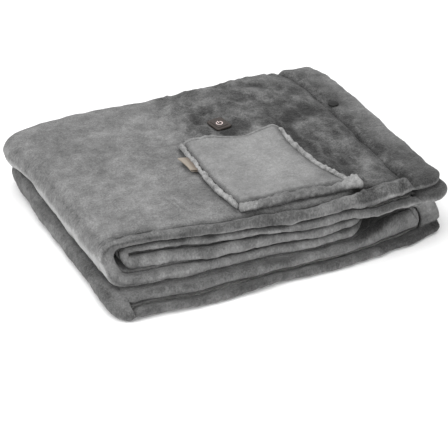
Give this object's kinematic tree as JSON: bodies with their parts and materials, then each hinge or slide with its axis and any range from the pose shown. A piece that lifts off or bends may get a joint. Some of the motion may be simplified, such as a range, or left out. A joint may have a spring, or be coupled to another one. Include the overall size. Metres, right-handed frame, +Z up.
{
  "type": "folded heated throw blanket",
  "caption": "Plush heated throw, folded in half and in thirds, with a sewn power-bank pocket, a dark press-button badge, a side label and a press stud on its hem.",
  "frame": {"origin": "on the surface the stack rests on, under the middle of its bounding box", "axes": "+Z up; +X towards the hemmed short ends that carry the press stud; +Y towards the closed fold at the back"},
  "size_m": [0.486, 0.4038, 0.0874],
  "materials": {
    "fleece": "brushed plush pile, mid grey, crushed in patches",
    "lining": "brushed plush pile, mid grey",
    "pocket_fleece": "brushed plush pile, the same grey seen lighter along its nap",
    "felt": "needled felt",
    "heater": "carbon-fibre heating fabric in a film",
    "lead": "flat soft lead sheath",
    "sensor": "taped sensor",
    "board": "circuit board lacquer",
    "switch": "stamped cover",
    "light_guide": "frosted light guide, lit pinkish white",
    "moulding": "fine moulded texture",
    "badge": "dark brown leather-grained soft skin",
    "label": "woven tan ribbon, plain",
    "stud": "matt dark grey cap"
  },
  "bodies": {
    "throw": {"face_fleece": "fleece", "long_hem_half_a": "fleece", "long_hem_half_b": "fleece", "snap_end_hem": "fleece", "far_end_hem": "fleece", "lining_fleece": "lining", "heater_carrier_felt": "felt", "heating_pad_top": "heater", "heating_pad_middle": "heater", "heating_pad_lower": "heater", "pad_link_left_turn": "lead", "pad_link_right_turn": "lead", "supply_lead": "lead", "heater_lead": "lead", "overheat_sensor": "sensor", "control_board": "board", "tactile_switch": "switch", "status_lamp": "light_guide", "controller_tray": "moulding", "supply_gland": "moulding", "badge_frame": "badge", "pocket_panel": "pocket_fleece", "pocket_seam_left": "pocket_fleece", "pocket_seam_right": "pocket_fleece", "pocket_front_hem": "pocket_fleece", "pocket_mouth_hem": "pocket_fleece", "loop_label": "label", "snap_cap": "stud", "snap_socket": "stud", "snap_stud": "stud", "snap_back_cap": "stud"},
    "button": {"power_button": "badge", "icon_light_guide": "light_guide", "switch_plunger": "switch"}
  },
  "joints": [
    {"name": "power_button_press", "type": "slide", "parent": "throw", "child": "button", "axis": [0, 0, -1], "range_m": [0, 0.0006], "stiffness_N_per_m": 2500}
  ]
}
